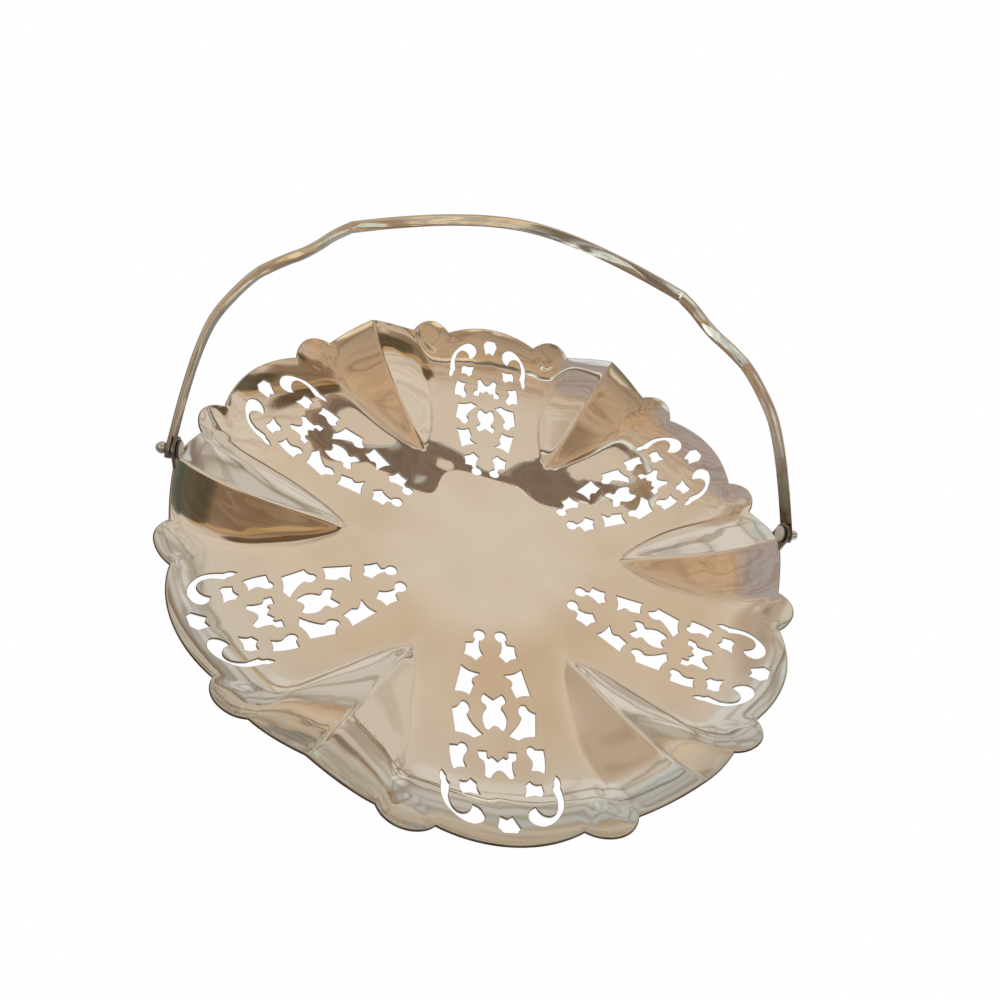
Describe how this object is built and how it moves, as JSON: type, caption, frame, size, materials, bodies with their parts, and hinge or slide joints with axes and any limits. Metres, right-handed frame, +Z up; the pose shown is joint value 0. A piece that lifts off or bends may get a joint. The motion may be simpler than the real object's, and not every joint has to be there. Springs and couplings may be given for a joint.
{
  "type": "pierced basket with swing handle",
  "caption": "Shallow round basket of pierced silver-plated sheet with raised flutes, a lobed rim, and a swing handle hinged at the rim.",
  "frame": {"origin": "centre of the flat underside that the basket stands on", "axes": "+X along the handle's hinge line, +Y towards the side that the handle leans to, +Z up out of the dish"},
  "size_m": [0.2632, 0.2562, 0.0963],
  "materials": {
    "dish_silver": "polished silver plate, warm, with faint polishing marks",
    "handle_silver": "polished silver plate, slightly worn along its edges",
    "hinge_silver": "polished silver plate, dull in its corners"
  },
  "bodies": {
    "dish": {"dish": "dish_silver", "pin_left": "hinge_silver", "pin_right": "hinge_silver", "washer_left": "hinge_silver", "washer_right": "hinge_silver", "nut_left": "hinge_silver", "nut_right": "hinge_silver"},
    "bail": {"bail": "handle_silver"}
  },
  "joints": [
    {"name": "bail_swing", "type": "hinge", "parent": "dish", "child": "bail", "pos_m": [0, 0, 0.03633], "axis": [1, 0, 0], "range_deg": [-28.5, 155]}
  ]
}
